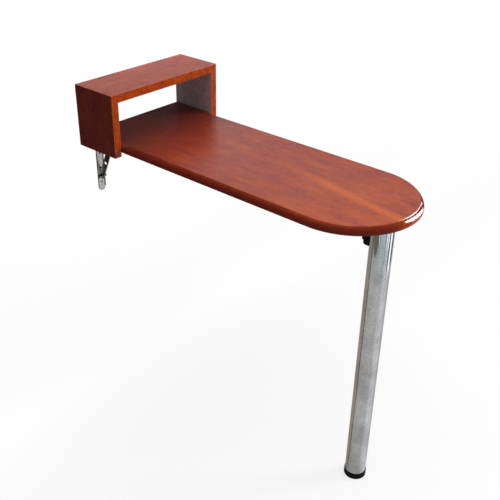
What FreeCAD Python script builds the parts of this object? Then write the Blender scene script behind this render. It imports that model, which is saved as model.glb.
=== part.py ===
"""Wall mounted drop leaf table: a wall box on two brackets, a leaf that turns on pins, and a folding leg.

Millimetres. The origin is on the wall, in the middle of the bracket screw holes. +Z is up, +X is to the
right for someone who faces the wall, and the leaf comes out from the wall towards -Y.
"""
import FreeCAD
import Part
import math
import os

# Wall box
box_width = 414.0
box_depth = 152.0
box_height = 180.0
board_thickness = 24.0
box_lift = 92.0  # bottom edge of the side panels above the middle wall screws
board_edge_round = 1.2
corner_dowel_radius = 4.0
corner_dowel_length = 24.0
corner_dowel_inset = 8.0  # from the inner corner, along the mitre
corner_dowel_count = 3
corner_dowel_end = 26.0  # from the front and back edges to the outer dowels

# Bearers under the leaf
cleat_width = 75.0
cleat_thickness = 10.0
cleat_front_gap = 11.0  # room in front of the bearers for the hanging leaf
cleat_dowel_radius = 3.0
cleat_dowel_depth = 14.0  # into each of the two pieces
cleat_dowel_count = 3
cleat_dowel_end = 16.0

# Leaf
leaf_reach = 978.0  # from the wall to the tip
leaf_thickness = 22.0
leaf_end_depth = 182.0  # length of the half ellipse at the end, close to a half circle
leaf_side_gap = 1.5
leaf_wall_gap = 3.0
leaf_rim_inset = 9.5  # from the side in to the arris around the top
leaf_side_foot = 3.0  # upright part of the side, below its round
leaf_arris_round = 0.8
leaf_bottom_round = 1.4
leaf_rim_stop = 10.0  # the round ends this far inside the front of the box

# Leaf pivot
pivot_from_wall = 120.0
pivot_pin_radius = 6.0
pivot_pin_in_leaf = 40.0
pivot_pin_end_gap = 2.0  # between the end of a pin and the end of its bush
pivot_bush_wall = 3.0
pivot_bush_depth = 14.0
pivot_washer_radius = 9.0
pivot_washer_gap = 0.3  # between a washer and the side panel

# Wall brackets
bracket_inset = 40.0  # from the inner face of a side panel to the middle of its bracket
bracket_web = 26.0
bracket_sheet = 2.0
bracket_lip = 4.5  # depth of the turned edges, from the back of the web
bracket_tail = 28.5  # wall arm below its lowest screw
wall_screw_pitch = 46.5
wall_screw_hole_radius = 2.75
strut_width = 19.0
strut_sheet = 3.0
strut_foot_drop = 118.0  # lower rivet below the top of the bracket
strut_head_reach = 57.0  # upper rivet out from the wall
strut_hole_radius = 5.5
strut_hole_from_foot = 52.0  # along the strut, from the lower rivet
rivet_radius = 2.0
rivet_head_radius = 3.2
rivet_head_height = 1.6
rivet_ear_edge = 1.6  # ear on a turned edge, around the rivet's head
spacer_radius = 3.0
spacer_web_gap = 0.4  # between a spacer and the channel web
arm_screw_radius = 2.0
arm_screw_length = 7.0  # in the bearer
arm_screw_head_radius = 3.8
arm_screw_head_height = 2.5
arm_screw_from_wall = 28.0
arm_screw_from_end = 16.0  # outer screw in from the end of the top arm

# Leg
leaf_height = 863.0  # underside of the leaf above the floor
leg_end_inset = 80.0  # leg axis in from the leaf's tip
tube_radius = 30.0
tube_wall = 1.5
leg_top_gap = 10.0  # top of the leg below the leaf
block_flange = 3.0
block_length = 97.0  # below the flange
block_round = 1.0

# Leg hinge
plate_half_width = 42.0
plate_outward = 48.0  # from the leg axis towards the leaf's tip
plate_inward = 30.0  # from the leg axis towards the wall
plate_thickness = 3.0
plate_corner = 8.0
plate_screw_edge = 10.0
plate_screw_radius = 2.0
plate_screw_head_radius = 4.0
plate_screw_head_height = 2.2
plate_screw_length = 14.0  # in the leaf
hinge_offset = 12.0  # hinge pin from the leg axis, towards the wall
hinge_pin_radius = 4.0
tongue_half_thickness = 8.0
tongue_round = 12.0
fold_clearance = 4.5  # between the lock slider and the leaf when the leg is folded

# Lock
bolt_radius = 5.0
bolt_length = 35.0
bolt_chamfer = 1.0
bolt_rest_gap = 1.0  # bolt tip below the tongue when the lock is open
bolt_travel = 6.0
notch_depth = 5.5
slider_half_width = 13.0
slider_body_depth = 17.0  # out from the tube's surface
slider_shoulder_depth = 21.5
slider_slot_gap = 1.7  # between the tongue's slot and the slider when the lock is shut
slider_height = 31.0
slider_shoulder_height = 18.0
slider_slope = 1.5
slider_chamfer = 3.0
slider_round = 3.0
neck_half_width = 4.0
neck_half_height = 4.0
neck_below_tip = 20.0  # below the tip of the bolt
neck_pin_radius = 2.5
neck_pin_reach = 3.0  # past the bolt's axis

# Foot
foot_radius = 32.0
foot_height = 20.0
foot_gap = 0.5  # between the pad and the tube when it is screwed in
foot_chamfer = 1.5
foot_groove_radius = 1.3
foot_groove_count = 44
foot_travel = 15.0
stud_radius = 5.0
stud_in_pad = 12.0
stud_past_nut = 0.5  # when the foot is screwed right out
plug_length = 24.0
nut_across_flats = 17.0
nut_height = 8.0

# Clearances
fixed_fit = 0.02  # glued or pressed pieces
loose_fit = 0.1  # pieces that are pushed in and held by another piece
running_fit = 0.05  # radial, where one piece turns or slides in another
slide_gap = 0.3  # flat faces that pass each other
rest_gap = 0.1  # flat faces that rest on each other

# Places worked out from the sizes
box_half = box_width / 2
inner_half = box_half - board_thickness
box_bottom = box_lift
box_top = box_lift + box_height
leaf_under = box_bottom + cleat_thickness + rest_gap
leaf_top = leaf_under + leaf_thickness
leaf_half = inner_half - leaf_side_gap
leaf_round_height = leaf_thickness - leaf_side_foot
leaf_arris_tilt = math.pi / 2 - 2 * math.atan(leaf_rim_inset / leaf_round_height)
leaf_side_round = leaf_round_height / math.cos(leaf_arris_tilt)
cleat_depth = pivot_from_wall - leaf_thickness / 2 - cleat_front_gap
pivot_y = -pivot_from_wall
pivot_z = leaf_under + leaf_thickness / 2
bracket_x = inner_half - bracket_inset
bracket_arm = cleat_depth
bracket_drop = box_lift + wall_screw_pitch + bracket_tail
rivet_depth = bracket_sheet + spacer_web_gap + spacer_radius
arm_screw_places = (arm_screw_from_wall, bracket_arm - arm_screw_from_end)
leg_y = -(leaf_reach - leg_end_inset)
floor_z = leaf_under - leaf_height
leg_top = leaf_under - leg_top_gap
tube_top = leg_top - block_flange
tube_bottom = floor_z + foot_height + foot_gap
tube_inner = tube_radius - tube_wall
hinge_y = leg_y + hinge_offset
hinge_drop = tube_radius + slider_shoulder_depth - hinge_offset + fold_clearance
hinge_z = leaf_under - hinge_drop
tongue_foot = hinge_z - tongue_round
slot_half = tongue_half_thickness + slide_gap
slot_foot = tongue_foot - slide_gap
block_bottom = tube_top - block_length
bolt_tip = tongue_foot - bolt_rest_gap
neck_z = bolt_tip - neck_below_tip
slider_top = slot_foot - bolt_travel - slider_slot_gap

AXIS_X = FreeCAD.Vector(1, 0, 0)
AXIS_Y = FreeCAD.Vector(0, 1, 0)
AXIS_Z = FreeCAD.Vector(0, 0, 1)
SIDES = {"left": -1, "right": 1}


def block(x0, x1, y0, y1, z0, z1):
    """Box between two corners."""
    return Part.makeBox(x1 - x0, y1 - y0, z1 - z0, FreeCAD.Vector(x0, y0, z0))


def rod(radius, x, y, z, length, axis=AXIS_Z):
    """Cylinder that starts at a point and runs along an axis."""
    return Part.makeCylinder(radius, length, FreeCAD.Vector(x, y, z), axis)


def cross_rod(radius, x0, x1, y, z):
    """Cylinder along X between two places."""
    return rod(radius, min(x0, x1), y, z, abs(x1 - x0), AXIS_X)


def prism(points, sweep):
    """Solid swept from a closed outline of corner points."""
    corners = [FreeCAD.Vector(*point) for point in points]
    return Part.Face(Part.makePolygon(corners + corners[:1])).extrude(FreeCAD.Vector(*sweep))


def fuse(shapes):
    """One solid from touching or overlapping shapes, with no seams left on its flat faces."""
    return shapes[0].multiFuse(shapes[1:]).removeSplitter()


def pick_edges(shape, test):
    """Edges whose two ends pass a test of the point."""
    return [edge for edge in shape.Edges if all(test(vertex.Point) for vertex in edge.Vertexes)]


def near(value, target):
    return abs(value - target) < 1e-4


def spread(first, last, count):
    """Evenly spaced places from the first to the last."""
    return [first + (last - first) * index / (count - 1) for index in range(count)]


def save(name, *shapes):
    """Write one node: a single solid, or a group of separate solids."""
    solids = [solid for shape in shapes for solid in shape.Solids]
    node = solids[0] if len(solids) == 1 else Part.makeCompound(solids)
    node.exportStep("parts/" + name + ".step")
    print(name, len(solids), "solid(s)", round(sum(solid.Volume for solid in solids) / 1000.0, 2), "cm3")


# Wall box

def corner_dowels(radius):
    """Dowels square to the two mitres, in a row from front to back."""
    dowels = []
    slant = math.sqrt(0.5)
    for side in SIDES.values():
        middle_x = side * (inner_half + corner_dowel_inset * slant)
        middle_z = box_top - board_thickness + corner_dowel_inset * slant
        axis = FreeCAD.Vector(-side * slant, 0, slant)
        for y in spread(-corner_dowel_end, corner_dowel_end - box_depth, corner_dowel_count):
            start = FreeCAD.Vector(middle_x, y, middle_z) - axis * (corner_dowel_length / 2)
            dowels.append(Part.makeCylinder(radius, corner_dowel_length, start, axis))
    return dowels


def cleat_dowels(radius):
    """Dowels along X from the bearers into the side panels."""
    z = box_bottom + cleat_thickness / 2
    near_end, far_end = inner_half - cleat_dowel_depth, inner_half + cleat_dowel_depth
    places = spread(-cleat_dowel_end, cleat_dowel_end - cleat_depth, cleat_dowel_count)
    return [cross_rod(radius, side * near_end, side * far_end, y, z)
            for side in SIDES.values() for y in places]


def top_board():
    inner_top = box_top - board_thickness
    board = prism([(-box_half, 0, box_top), (box_half, 0, box_top), (inner_half, 0, inner_top),
                   (-inner_half, 0, inner_top)], (0, -box_depth, 0))
    front = pick_edges(board, lambda p: near(p.y, -box_depth) and near(p.z, box_top))
    front += pick_edges(board, lambda p: near(p.y, -box_depth) and near(p.z, inner_top))
    board = board.makeFillet(board_edge_round, front)
    return board.cut(corner_dowels(corner_dowel_radius + fixed_fit))


def side_panel(side):
    inner_top = box_top - board_thickness
    outer, inner = side * box_half, side * inner_half
    panel = prism([(outer, 0, box_top), (inner, 0, inner_top),
                   (inner, 0, box_bottom), (outer, 0, box_bottom)], (0, -box_depth, 0))
    front = pick_edges(panel, lambda p: near(p.y, -box_depth) and near(p.x, outer))
    front += pick_edges(panel, lambda p: near(p.y, -box_depth) and near(p.x, inner))
    panel = panel.makeFillet(board_edge_round, front)
    bush_hole = cross_rod(pivot_pin_radius + running_fit + pivot_bush_wall + fixed_fit,
                          inner, inner + side * pivot_bush_depth, pivot_y, pivot_z)
    return panel.cut(corner_dowels(corner_dowel_radius + fixed_fit)
                     + cleat_dowels(cleat_dowel_radius + fixed_fit) + [bush_hole])


def cleat(side):
    """Bearer that the inner end of the leaf rests on, screwed to its bracket and dowelled to its panel."""
    inner, edge = side * inner_half, side * (inner_half - cleat_width)
    bearer = block(min(inner, edge), max(inner, edge), -cleat_depth, 0,
                   box_bottom, box_bottom + cleat_thickness)
    return bearer.cut(cleat_dowels(cleat_dowel_radius + fixed_fit)
                      + [arm_screw_shank(side, y, fixed_fit) for y in arm_screw_places])


def pivot_bush(side):
    """Sleeve in the side panel that the leaf's pin turns in."""
    mouth, floor = side * inner_half, side * (inner_half + pivot_bush_depth)
    bore = pivot_pin_radius + running_fit
    sleeve = cross_rod(bore + pivot_bush_wall, mouth, floor, pivot_y, pivot_z)
    return sleeve.cut(cross_rod(bore, mouth, floor, pivot_y, pivot_z))


# Wall brackets

def arm_screw_shank(side, out, fit):
    return rod(arm_screw_radius + fit, side * bracket_x, -out, box_bottom - bracket_sheet,
               bracket_sheet + arm_screw_length)


def arm_screw(side, out):
    foot = box_bottom - bracket_sheet - arm_screw_head_height
    head = rod(arm_screw_head_radius, side * bracket_x, -out, foot, arm_screw_head_height)
    rim = pick_edges(head, lambda p: near(p.z, foot))
    return fuse([head.makeFillet(arm_screw_head_height / 2, rim), arm_screw_shank(side, out, 0)])


def rivet_points():
    """Lower and upper rivet axes, in Y and Z."""
    return [(-rivet_depth, box_bottom - strut_foot_drop), (-strut_head_reach, box_bottom - rivet_depth)]


def bracket_angle(side):
    """Shallow channel bent to a right angle, with round ends and ears for the rivets."""
    x = side * bracket_x
    half = bracket_web / 2
    low, out = box_bottom - bracket_drop + half, half - bracket_arm
    pieces = [block(x - half, x + half, -bracket_sheet, 0, low, box_bottom),
              rod(half, x, -bracket_sheet, low, bracket_sheet, AXIS_Y),
              block(x - half, x + half, out, 0, box_bottom - bracket_sheet, box_bottom),
              rod(half, x, out, box_bottom - bracket_sheet, bracket_sheet)]
    for lip in (x - half, x + half - bracket_sheet):
        pieces.append(block(lip, lip + bracket_sheet, -bracket_lip, 0, low, box_bottom))
        pieces.append(block(lip, lip + bracket_sheet, out, 0, box_bottom - bracket_lip, box_bottom))
        pieces += [cross_rod(rivet_head_radius + rivet_ear_edge, lip, lip + bracket_sheet, y, z)
                   for y, z in rivet_points()]
    holes = [rod(wall_screw_hole_radius, x, -bracket_sheet, row * wall_screw_pitch, bracket_sheet, AXIS_Y)
             for row in (-1, 0, 1)]
    holes += [cross_rod(rivet_radius + fixed_fit, x - half, x + half, y, z) for y, z in rivet_points()]
    holes += [arm_screw_shank(side, y, loose_fit) for y in arm_screw_places]
    return fuse(pieces).cut(holes)


def bracket_strut(side):
    """Flat diagonal between the two rivets, cut off where it meets the webs of the channel."""
    x = side * bracket_x
    (foot_y, foot_z), (head_y, head_z) = rivet_points()
    run, rise = head_y - foot_y, head_z - foot_z
    length = math.hypot(run, rise)
    across_y, across_z = rise / length * strut_width / 2, -run / length * strut_width / 2
    left, right = x - strut_sheet / 2, x + strut_sheet / 2
    plate = prism([(left, foot_y - across_y, foot_z - across_z),
                   (left, foot_y + across_y, foot_z + across_z),
                   (left, head_y + across_y, head_z + across_z),
                   (left, head_y - across_y, head_z - across_z)], (strut_sheet, 0, 0))
    ends = [cross_rod(strut_width / 2, left, right, y, z) for y, z in rivet_points()]
    room = block(left, right, -bracket_arm, -bracket_sheet - loose_fit,
                 box_bottom - bracket_drop, box_bottom - bracket_sheet - loose_fit)
    along = strut_hole_from_foot / length
    hole = cross_rod(strut_hole_radius, left, right, foot_y + run * along, foot_z + rise * along)
    rivets = [cross_rod(rivet_radius + fixed_fit, left, right, y, z) for y, z in rivet_points()]
    return fuse([plate] + ends).common(room).cut([hole] + rivets)


def bracket_rivet(side, y, z):
    x = side * bracket_x
    half = bracket_web / 2
    pieces = [cross_rod(rivet_radius, x - half, x + half, y, z)]
    for face in (-1, 1):
        tip = x + face * (half + rivet_head_height)
        head = cross_rod(rivet_head_radius, x + face * half, tip, y, z)
        pieces.append(head.makeFillet(rivet_head_height / 2, pick_edges(head, lambda p: near(p.x, tip))))
    return fuse(pieces)


def bracket_spacer(side, face, y, z):
    """Tube on a rivet, between an ear of the channel and the strut."""
    x = side * bracket_x
    ends = (x + face * (strut_sheet / 2 + fixed_fit),
            x + face * (bracket_web / 2 - bracket_sheet - fixed_fit))
    return cross_rod(spacer_radius, *ends, y, z).cut(cross_rod(rivet_radius + fixed_fit, *ends, y, z))


# Leaf

def leaf_outline_solid(top):
    """Straight board with a half ellipse at its far end, before any edge is rounded."""
    start = -(leaf_reach - leaf_end_depth)
    straight = block(-leaf_half, leaf_half, start, -leaf_wall_gap, leaf_under, top)
    long_radius, short_radius = max(leaf_half, leaf_end_depth), min(leaf_half, leaf_end_depth)
    ellipse = Part.Ellipse(FreeCAD.Vector(0, 0, 0), long_radius, short_radius)
    end = Part.Face(Part.Wire(ellipse.toShape())).extrude(FreeCAD.Vector(0, 0, top - leaf_under))
    if leaf_end_depth > leaf_half:
        end.rotate(FreeCAD.Vector(0, 0, 0), AXIS_Z, 90)
    end.translate(FreeCAD.Vector(0, start, leaf_under))
    return fuse([straight, end])


def rim_edges(board, z):
    """Edges along the sides and the round end at one height, without the edge at the wall."""
    level = pick_edges(board, lambda p: near(p.z, z))
    return [edge for edge in level
            if not all(near(vertex.Point.y, -leaf_wall_gap) for vertex in edge.Vertexes)]


def leaf_board():
    """The side is a round that the top face cuts off at an arris. Inside the box the sides are upright."""
    rounded_top = leaf_under + leaf_side_foot + leaf_side_round
    board = leaf_outline_solid(rounded_top)
    board = board.makeFillet(leaf_side_round, rim_edges(board, rounded_top))
    board = board.cut(block(-box_half, box_half, -2 * leaf_reach, leaf_wall_gap, leaf_top, rounded_top + 1))
    board = board.makeFillet(leaf_arris_round, rim_edges(board, leaf_top))
    board = fuse([board, block(-leaf_half, leaf_half, leaf_rim_stop - box_depth, -leaf_wall_gap,
                               leaf_under, leaf_top)])
    board = board.makeFillet(leaf_bottom_round, rim_edges(board, leaf_under))
    pins = [cross_rod(pivot_pin_radius + fixed_fit, side * leaf_half, side * (leaf_half - pivot_pin_in_leaf),
                      pivot_y, pivot_z) for side in SIDES.values()]
    screws = [plate_screw_shank(x, y, fixed_fit) for x, y in plate_screw_points()]
    return board.cut(pins + screws)


def pivot_pin(side):
    """Steel pin pressed into the edge of the leaf."""
    return cross_rod(pivot_pin_radius, side * (leaf_half - pivot_pin_in_leaf),
                     side * (inner_half + pivot_bush_depth - pivot_pin_end_gap), pivot_y, pivot_z)


def pivot_washer(side):
    ends = (side * leaf_half, side * (inner_half - pivot_washer_gap))
    disc = cross_rod(pivot_washer_radius, *ends, pivot_y, pivot_z)
    return disc.cut(cross_rod(pivot_pin_radius + fixed_fit, *ends, pivot_y, pivot_z))


# Leg hinge, under the leaf

def plate_screw_points():
    side = plate_half_width - plate_screw_edge
    return [(x, y) for x in (-side, side)
            for y in (leg_y - plate_outward + plate_screw_edge, leg_y + plate_inward - plate_screw_edge)]


def plate_screw_shank(x, y, fit):
    return rod(plate_screw_radius + fit, x, y, leaf_under - plate_thickness,
               plate_thickness + plate_screw_length)


def plate_screw_head(x, y, fit):
    return Part.makeCone(plate_screw_head_radius + fit, plate_screw_radius + fit, plate_screw_head_height,
                         FreeCAD.Vector(x, y, leaf_under - plate_thickness), AXIS_Z)


def leg_base_plate():
    """Plate under the leaf with a tongue down to the hinge pin, and a notch at each end of the fold."""
    plate = block(-plate_half_width, plate_half_width, leg_y - plate_outward, leg_y + plate_inward,
                  leaf_under - plate_thickness, leaf_under)
    corners = [edge for edge in plate.Edges if near(edge.Vertexes[0].Point.x, edge.Vertexes[-1].Point.x)
               and near(edge.Vertexes[0].Point.y, edge.Vertexes[-1].Point.y)]
    plate = plate.makeFillet(plate_corner, corners)
    tongue = block(-tongue_half_thickness, tongue_half_thickness,
                   hinge_y - tongue_round, hinge_y + tongue_round, hinge_z, leaf_under - plate_thickness)
    nose = cross_rod(tongue_round, -tongue_half_thickness, tongue_half_thickness, hinge_y, hinge_z)
    holes = [cross_rod(hinge_pin_radius + running_fit, -tongue_half_thickness, tongue_half_thickness,
                       hinge_y, hinge_z),
             rod(bolt_radius + loose_fit, 0, hinge_y, tongue_foot, notch_depth),
             rod(bolt_radius + loose_fit, 0, hinge_y + tongue_round - notch_depth, hinge_z,
                 notch_depth, AXIS_Y)]
    for x, y in plate_screw_points():
        holes += [plate_screw_shank(x, y, loose_fit), plate_screw_head(x, y, loose_fit)]
    return fuse([plate, tongue, nose]).cut(holes)


# Leg

def tongue_slot():
    """Room in the leg for the tongue, from upright round to the folded side."""
    return block(-slot_half, slot_half, hinge_y - tongue_round - slide_gap, leg_y + 2 * tube_radius,
                 slot_foot, leg_top)


def neck_slot():
    """Room in the leg for the neck of the lock slider over its travel."""
    half = neck_half_width + slide_gap
    return block(-half, half, hinge_y, leg_y + 2 * tube_radius, neck_z - neck_half_height - slide_gap,
                 neck_z + neck_half_height + bolt_travel + slide_gap)


def leg_tube():
    length = tube_top - tube_bottom
    bore = rod(tube_inner, 0, leg_y, tube_bottom, length)
    return rod(tube_radius, 0, leg_y, tube_bottom, length).cut([bore, tongue_slot(), neck_slot()])


def hinge_pin_half():
    """Half the pin's length, so that its ends stay inside the round of the block."""
    reach = tube_inner - loose_fit
    return math.sqrt(reach ** 2 - (hinge_offset + hinge_pin_radius) ** 2)


def leg_hinge_block():
    """Block that caps the tube and carries the hinge pin and the lock bolt."""
    body = rod(tube_inner - fixed_fit, 0, leg_y, block_bottom, block_length)
    flange = rod(tube_radius, 0, leg_y, tube_top, block_flange)
    rim = pick_edges(flange, lambda p: near(p.z, leg_top))
    flange = flange.makeFillet(block_round, rim)
    pin = cross_rod(hinge_pin_radius + fixed_fit, -tube_radius, tube_radius, hinge_y, hinge_z)
    bolt = rod(bolt_radius + running_fit, 0, hinge_y, block_bottom, slot_foot - block_bottom)
    return fuse([body, flange]).cut([tongue_slot(), neck_slot(), pin, bolt])


def leg_hinge_pin():
    half = hinge_pin_half()
    return cross_rod(hinge_pin_radius, -half, half, hinge_y, hinge_z)


def lock_bolt():
    bolt = rod(bolt_radius, 0, hinge_y, bolt_tip - bolt_length, bolt_length)
    bolt = bolt.makeChamfer(bolt_chamfer, pick_edges(bolt, lambda p: near(p.z, bolt_tip)))
    return bolt.cut(rod(neck_pin_radius + fixed_fit, 0, hinge_y - neck_pin_reach, neck_z,
                        neck_pin_reach + bolt_radius, AXIS_Y))


def lock_slider():
    """Thumb piece that hugs the tube, with a neck through the slot to the bolt."""
    body_y = leg_y + tube_radius + slider_body_depth
    shoulder_y = leg_y + tube_radius + slider_shoulder_depth
    foot = slider_top - slider_height
    shoulder_foot = slider_top - slider_shoulder_height
    left = -slider_half_width
    profile = [(leg_y, slider_top), (shoulder_y, slider_top), (shoulder_y, shoulder_foot),
               (body_y, shoulder_foot - slider_slope), (body_y, foot + slider_chamfer),
               (body_y - slider_chamfer, foot), (leg_y, foot)]
    grip = prism([(left, y, z) for y, z in profile], (2 * slider_half_width, 0, 0))
    outer = [edge for edge in grip.Edges
             if all(vertex.Point.y > body_y - 1e-3 and near(abs(vertex.Point.x), slider_half_width)
                    for vertex in edge.Vertexes)
             and near(edge.Vertexes[0].Point.x, edge.Vertexes[-1].Point.x)]
    grip = grip.makeChamfer(slider_round, outer)
    grip = grip.cut(rod(tube_radius + slide_gap, 0, leg_y, foot, slider_height))
    grip = max(grip.Solids, key=lambda solid: solid.CenterOfMass.y)
    neck_y = hinge_y + bolt_radius + slide_gap
    neck = block(-neck_half_width, neck_half_width, neck_y, body_y - slider_body_depth / 2,
                 neck_z - neck_half_height, neck_z + neck_half_height)
    pin = rod(neck_pin_radius, 0, hinge_y - neck_pin_reach, neck_z,
              neck_y - hinge_y + neck_pin_reach, AXIS_Y)
    return fuse([grip, neck, pin])


# Foot

def hexagon(across_flats, z, height):
    corner = across_flats / math.sqrt(3)
    turns = [math.radians(60 * step) for step in range(6)]
    points = [(corner * math.cos(turn), leg_y + corner * math.sin(turn), z) for turn in turns]
    return prism(points, (0, 0, height))


def leg_end_plug():
    plug = rod(tube_inner - fixed_fit, 0, leg_y, tube_bottom, plug_length)
    pocket = hexagon(nut_across_flats + 2 * fixed_fit, tube_bottom + plug_length - nut_height, nut_height)
    return plug.cut([pocket, rod(stud_radius + loose_fit, 0, leg_y, tube_bottom, plug_length)])


def foot_nut():
    z = tube_bottom + plug_length - nut_height
    bore = rod(stud_radius + running_fit, 0, leg_y, z, nut_height)
    return hexagon(nut_across_flats, z, nut_height).cut(bore)


def foot_pad():
    """Ribbed hand wheel that the leg stands on."""
    top = floor_z + foot_height
    pad = rod(foot_radius, 0, leg_y, floor_z, foot_height)
    pad = pad.makeChamfer(foot_chamfer, pick_edges(pad, lambda p: near(p.z, top) or near(p.z, floor_z)))
    grooves = []
    for step in range(foot_groove_count):
        turn = 2 * math.pi * step / foot_groove_count
        x, y = foot_radius * math.cos(turn), leg_y + foot_radius * math.sin(turn)
        grooves.append(rod(foot_groove_radius, x, y, floor_z, foot_height))
    return pad.cut(grooves + [rod(stud_radius + fixed_fit, 0, leg_y, top - stud_in_pad, stud_in_pad)])


def foot_stud():
    """Stud that stays in its nut when the foot is screwed right out."""
    foot = floor_z + foot_height - stud_in_pad
    tip = tube_bottom + plug_length + foot_travel + stud_past_nut
    return rod(stud_radius, 0, leg_y, foot, tip - foot)


os.makedirs("parts", exist_ok=True)
save("box_top_board", top_board())
save("corner_dowels", *corner_dowels(corner_dowel_radius))
save("cleat_dowels", *cleat_dowels(cleat_dowel_radius))
for name, side in SIDES.items():
    save("box_" + name + "_panel", side_panel(side))
    save(name + "_cleat", cleat(side))
    save(name + "_pivot_bush", pivot_bush(side))
    save(name + "_bracket_angle", bracket_angle(side))
    save(name + "_bracket_strut", bracket_strut(side))
    save(name + "_pivot_pin", pivot_pin(side))
    save(name + "_pivot_washer", pivot_washer(side))
save("bracket_rivets", *[bracket_rivet(side, y, z) for side in SIDES.values() for y, z in rivet_points()])
save("bracket_spacers", *[bracket_spacer(side, face, y, z) for side in SIDES.values() for face in (-1, 1)
                          for y, z in rivet_points()])
save("bracket_arm_screws", *[arm_screw(side, out) for side in SIDES.values() for out in arm_screw_places])
save("leaf_board", leaf_board())
save("leg_base_plate", leg_base_plate())
save("base_plate_screws", *[fuse([plate_screw_shank(x, y, 0), plate_screw_head(x, y, 0)])
                            for x, y in plate_screw_points()])
save("leg_tube", leg_tube())
save("leg_hinge_block", leg_hinge_block())
save("leg_hinge_pin", leg_hinge_pin())
save("lock_bolt", lock_bolt())
save("lock_slider", lock_slider())
save("leg_end_plug", leg_end_plug())
save("foot_nut", foot_nut())
save("foot_pad", foot_pad())
save("foot_stud", foot_stud())
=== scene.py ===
# %% [markdown]
# # A drop leaf table that hangs on the wall
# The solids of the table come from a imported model: a wooden box on two steel brackets, a long leaf that
# turns on pins inside the box, and a chromed leg that folds away. They are already at their real size
# and place, so this file never moves them. It gives them their finishes, swaps a few for finer meshes,
# and sets the light and the camera.

# %% Load the frame
from math import atan2, cos, hypot, pi, radians, sin, sqrt

import bmesh
import bpy
from mathutils import Matrix, Vector


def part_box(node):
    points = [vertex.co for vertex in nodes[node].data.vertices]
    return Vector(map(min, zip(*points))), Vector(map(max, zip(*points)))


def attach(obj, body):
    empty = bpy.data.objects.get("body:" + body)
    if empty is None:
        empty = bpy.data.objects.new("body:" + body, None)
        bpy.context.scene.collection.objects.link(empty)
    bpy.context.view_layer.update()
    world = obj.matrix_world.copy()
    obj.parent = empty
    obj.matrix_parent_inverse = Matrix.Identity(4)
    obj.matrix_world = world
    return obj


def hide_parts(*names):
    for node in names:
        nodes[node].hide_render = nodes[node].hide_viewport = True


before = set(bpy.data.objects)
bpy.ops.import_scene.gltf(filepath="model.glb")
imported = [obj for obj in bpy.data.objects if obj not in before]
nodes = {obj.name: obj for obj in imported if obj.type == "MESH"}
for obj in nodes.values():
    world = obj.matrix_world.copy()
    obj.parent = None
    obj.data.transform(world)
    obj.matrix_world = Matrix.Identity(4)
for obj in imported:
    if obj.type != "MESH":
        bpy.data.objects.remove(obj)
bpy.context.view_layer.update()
scene = bpy.context.scene

# %% [markdown]
# ## The camera
# The picture was taken from the left, from eye height, with the lens tilted down by thirty degrees. A
# camera in Blender looks along its own -Z, so its three axes are worked out from the heading, the rise
# and a small roll, and written straight into its matrix. That is easier to check than chained
# rotations.

# %% Camera
picture_side = 500.0
focal_pixels = 773.9
sensor_width = 36.0
camera_place = Vector((-1.486, -1.721, 0.959))
heading, rise, roll = (radians(angle) for angle in (-50.0, 30.07, 1.16))

back = Vector((sin(heading) * cos(rise), -cos(heading) * cos(rise), sin(rise)))
level = Vector((cos(heading), sin(heading), 0.0))
upright = back.cross(level)
right = level * cos(roll) + upright * sin(roll)
up = upright * cos(roll) - level * sin(roll)

lens = bpy.data.cameras.new("camera")
lens.sensor_width = sensor_width
lens.lens = sensor_width * focal_pixels / picture_side
camera = bpy.data.objects.new("camera", lens)
camera.matrix_world = Matrix.Translation(camera_place) @ Matrix((right, up, back)).transposed().to_4x4()
scene.collection.objects.link(camera)
scene.camera = camera
print("lens", round(lens.lens, 2), "mm")

# %% [markdown]
# ## Helpers for shader nodes
# Every finish here is made of shader nodes. They could be wired by hand in the shader editor, but a
# script can be read and run again. Small helpers keep it short: an input is a plain value or the socket
# of another node.

# %% Node helpers
def fill(tree, socket, value):
    """Give a socket a plain value or a link."""
    if isinstance(value, bpy.types.NodeSocket):
        tree.links.new(value, socket)
    else:
        socket.default_value = value


def feed(tree, node, **inputs):
    """Fill inputs of a node by name, with the spaces of a name written as underscores."""
    for label, value in inputs.items():
        fill(tree, node.inputs[label.replace("_", " ")], value)


def add(tree, kind, inputs=None, **settings):
    """Add a node with its settings, and fill its inputs by name or number."""
    made = tree.nodes.new(kind)
    for name, value in settings.items():
        setattr(made, name, value)
    for name, value in (inputs or {}).items():
        fill(tree, made.inputs[name], value)
    return made


def sums(tree, operation, first, second=0.0, clamp=False):
    made = add(tree, "ShaderNodeMath", {0: first, 1: second}, operation=operation, use_clamp=clamp)
    return made.outputs[0]


def times(tree, first, second):
    return sums(tree, "MULTIPLY", first, second)


def vectors(tree, operation, first, second):
    return add(tree, "ShaderNodeVectorMath", {0: first, 1: second}, operation=operation).outputs[0]


def split(tree, vector):
    """X, Y and Z of a vector."""
    return add(tree, "ShaderNodeSeparateXYZ", {0: vector}).outputs


# %% [markdown]
# Most of a finish is masks between 0 and 1 that let one colour over another. A mask is a range of a
# noise or of the surface's direction, spread out to the shares that are wanted.

# %% Masks and colours
def noise(tree, place, scale, detail=3.0, roughness=0.5):
    inputs = {"Vector": place, "Scale": scale, "Detail": detail, "Roughness": roughness}
    return add(tree, "ShaderNodeTexNoise", inputs).outputs[0]


def spread(tree, value, low, high, new_low=0.0, new_high=1.0):
    """Map a range of values to another range, and clamp it there."""
    made = add(tree, "ShaderNodeMapRange", {0: value, 1: low, 2: high, 3: new_low, 4: new_high})
    return made.outputs[0]


def window(tree, value, low, full_low, full_high, high):
    """One between the two full values, and down to nothing at the outer two."""
    return times(tree, spread(tree, value, low, full_low), spread(tree, value, high, full_high))


def blend(tree, share, first, second, mode="MIX"):
    """Mix two colours."""
    made = add(tree, "ShaderNodeMix", {0: share, 6: first, 7: second}, data_type="RGBA", blend_type=mode)
    return made.outputs[2]


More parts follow.
